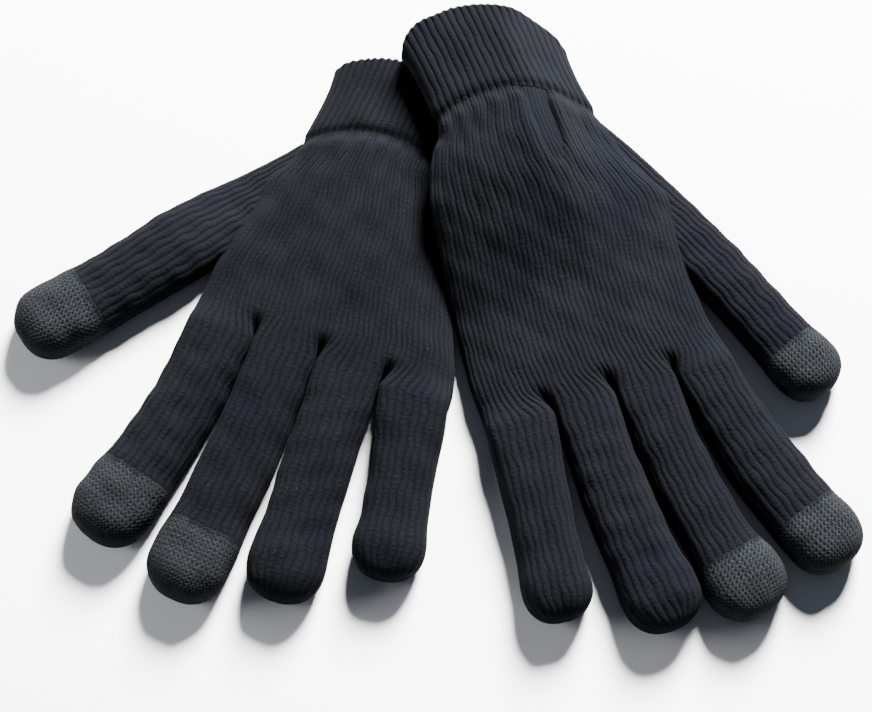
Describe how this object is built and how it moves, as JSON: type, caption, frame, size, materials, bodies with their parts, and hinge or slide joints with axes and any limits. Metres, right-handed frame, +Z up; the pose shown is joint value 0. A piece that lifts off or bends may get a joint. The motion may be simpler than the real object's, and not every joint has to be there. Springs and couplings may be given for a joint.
{
  "type": "touchscreen gloves",
  "caption": "Pair of knitted gloves with ribbed cuffs and conductive thumb, index and middle fingertips, laid flat with one glove overlapping the other.",
  "frame": {"origin": "centre of the pair's outline on the surface that it lies on", "axes": "+Z up, away from the surface; the fingers point towards -Y and the thumbs outwards, the left glove's to -X and the right glove's to +X"},
  "size_m": [0.2766, 0.2164, 0.025],
  "materials": {
    "knit_black": "matte knitted acrylic yarn",
    "rib_black": "matte rib-knitted acrylic yarn",
    "conductive_knit": "matte knit of black yarn and grey conductive yarn",
    "elastic_thread": "covered elastic thread"
  },
  "bodies": {
    "left_hand": {"left_hand": "knit_black", "left_cuff": "rib_black", "left_cuff_edge": "rib_black", "left_cuff_elastic": "elastic_thread"},
    "left_thumb_base": {"left_thumb_base_sleeve": "knit_black"},
    "left_thumb_end": {"left_thumb_upper_sleeve": "knit_black", "left_thumb_touch_tip": "conductive_knit"},
    "left_index_base": {"left_index_base_sleeve": "knit_black"},
    "left_index_end": {"left_index_upper_sleeve": "knit_black", "left_index_touch_tip": "conductive_knit"},
    "left_middle_base": {"left_middle_base_sleeve": "knit_black"},
    "left_middle_end": {"left_middle_upper_sleeve": "knit_black", "left_middle_touch_tip": "conductive_knit"},
    "left_ring_base": {"left_ring_base_sleeve": "knit_black"},
    "left_ring_end": {"left_ring_upper_sleeve": "knit_black", "left_ring_plain_tip": "knit_black"},
    "left_little_base": {"left_little_base_sleeve": "knit_black"},
    "left_little_end": {"left_little_upper_sleeve": "knit_black", "left_little_plain_tip": "knit_black"},
    "right_hand": {"right_hand": "knit_black", "right_cuff": "rib_black", "right_cuff_edge": "rib_black", "right_cuff_elastic": "elastic_thread"},
    "right_thumb_base": {"right_thumb_base_sleeve": "knit_black"},
    "right_thumb_end": {"right_thumb_upper_sleeve": "knit_black", "right_thumb_touch_tip": "conductive_knit"},
    "right_index_base": {"right_index_base_sleeve": "knit_black"},
    "right_index_end": {"right_index_upper_sleeve": "knit_black", "right_index_touch_tip": "conductive_knit"},
    "right_middle_base": {"right_middle_base_sleeve": "knit_black"},
    "right_middle_end": {"right_middle_upper_sleeve": "knit_black", "right_middle_touch_tip": "conductive_knit"},
    "right_ring_base": {"right_ring_base_sleeve": "knit_black"},
    "right_ring_end": {"right_ring_upper_sleeve": "knit_black", "right_ring_plain_tip": "knit_black"},
    "right_little_base": {"right_little_base_sleeve": "knit_black"},
    "right_little_end": {"right_little_upper_sleeve": "knit_black", "right_little_plain_tip": "knit_black"}
  },
  "joints": [
    {"name": "left_thumb_root_flex", "type": "hinge", "parent": "left_hand", "child": "left_thumb_base", "pos_m": [-0.08179, 0.02456, 0], "axis": [0.5341, -0.8454, 0], "range_deg": [0, 40]},
    {"name": "left_thumb_middle_flex", "type": "hinge", "parent": "left_thumb_base", "child": "left_thumb_end", "pos_m": [-0.10802, 0.00686, 0], "axis": [0.5341, -0.8454, 0], "range_deg": [0, 80]},
    {"name": "left_index_root_flex", "type": "hinge", "parent": "left_hand", "child": "left_index_base", "pos_m": [-0.06985, -0.00873, 0], "axis": [0.9397, -0.342, 0], "range_deg": [0, 80]},
    {"name": "left_index_middle_flex", "type": "hinge", "parent": "left_index_base", "child": "left_index_end", "pos_m": [-0.08714, -0.04394, 0], "axis": [0.9397, -0.342, 0], "range_deg": [0, 80]},
    {"name": "left_middle_root_flex", "type": "hinge", "parent": "left_hand", "child": "left_middle_base", "pos_m": [-0.0489, -0.01636, 0], "axis": [0.9397, -0.342, 0], "range_deg": [0, 80]},
    {"name": "left_middle_middle_flex", "type": "hinge", "parent": "left_middle_base", "child": "left_middle_end", "pos_m": [-0.06358, -0.05465, 0], "axis": [0.9397, -0.342, 0], "range_deg": [0, 80]},
    {"name": "left_ring_root_flex", "type": "hinge", "parent": "left_hand", "child": "left_ring_base", "pos_m": [-0.02822, -0.02388, 0], "axis": [0.9397, -0.342, 0], "range_deg": [0, 80]},
    {"name": "left_ring_middle_flex", "type": "hinge", "parent": "left_ring_base", "child": "left_ring_end", "pos_m": [-0.03872, -0.05944, 0], "axis": [0.9397, -0.342, 0], "range_deg": [0, 80]},
    {"name": "left_little_root_flex", "type": "hinge", "parent": "left_hand", "child": "left_little_base", "pos_m": [-0.00633, -0.03185, 0], "axis": [0.9397, -0.342, 0], "range_deg": [0, 80]},
    {"name": "left_little_middle_flex", "type": "hinge", "parent": "left_little_base", "child": "left_little_end", "pos_m": [-0.01057, -0.06223, 0], "axis": [0.9397, -0.342, 0], "range_deg": [0, 80]},
    {"name": "right_glove_lift", "type": "slide", "parent": "left_hand", "child": "right_hand", "axis": [0, 0, 1], "range_m": [0, 0.08]},
    {"name": "right_thumb_root_flex", "type": "hinge", "parent": "right_hand", "child": "right_thumb_base", "pos_m": [0.09882, 0.00995, 0], "axis": [0.7718, 0.6359, 0], "range_deg": [0, 40]},
    {"name": "right_thumb_middle_flex", "type": "hinge", "parent": "right_thumb_base", "child": "right_thumb_end", "pos_m": [0.11268, -0.00735, 0], "axis": [0.7718, 0.6359, 0], "range_deg": [0, 80]},
    {"name": "right_index_root_flex", "type": "hinge", "parent": "right_hand", "child": "right_index_base", "pos_m": [0.08991, -0.02247, 0], "axis": [0.9563, 0.2924, 0], "range_deg": [0, 80]},
    {"name": "right_index_middle_flex", "type": "hinge", "parent": "right_index_base", "child": "right_index_end", "pos_m": [0.10837, -0.05447, 0], "axis": [0.9563, 0.2924, 0], "range_deg": [0, 80]},
    {"name": "right_middle_root_flex", "type": "hinge", "parent": "right_hand", "child": "right_middle_base", "pos_m": [0.0704, -0.02843, 0], "axis": [0.9563, 0.2924, 0], "range_deg": [0, 80]},
    {"name": "right_middle_middle_flex", "type": "hinge", "parent": "right_middle_base", "child": "right_middle_end", "pos_m": [0.08486, -0.06479, 0], "axis": [0.9563, 0.2924, 0], "range_deg": [0, 80]},
    {"name": "right_ring_root_flex", "type": "hinge", "parent": "right_hand", "child": "right_ring_base", "pos_m": [0.05032, -0.03457, 0], "axis": [0.9563, 0.2924, 0], "range_deg": [0, 80]},
    {"name": "right_ring_middle_flex", "type": "hinge", "parent": "right_ring_base", "child": "right_ring_end", "pos_m": [0.06219, -0.07068, 0], "axis": [0.9563, 0.2924, 0], "range_deg": [0, 80]},
    {"name": "right_little_root_flex", "type": "hinge", "parent": "right_hand", "child": "right_little_base", "pos_m": [0.02928, -0.04101, 0], "axis": [0.9563, 0.2924, 0], "range_deg": [0, 80]},
    {"name": "right_little_middle_flex", "type": "hinge", "parent": "right_little_base", "child": "right_little_end", "pos_m": [0.03558, -0.07359, 0], "axis": [0.9563, 0.2924, 0], "range_deg": [0, 80]}
  ]
}
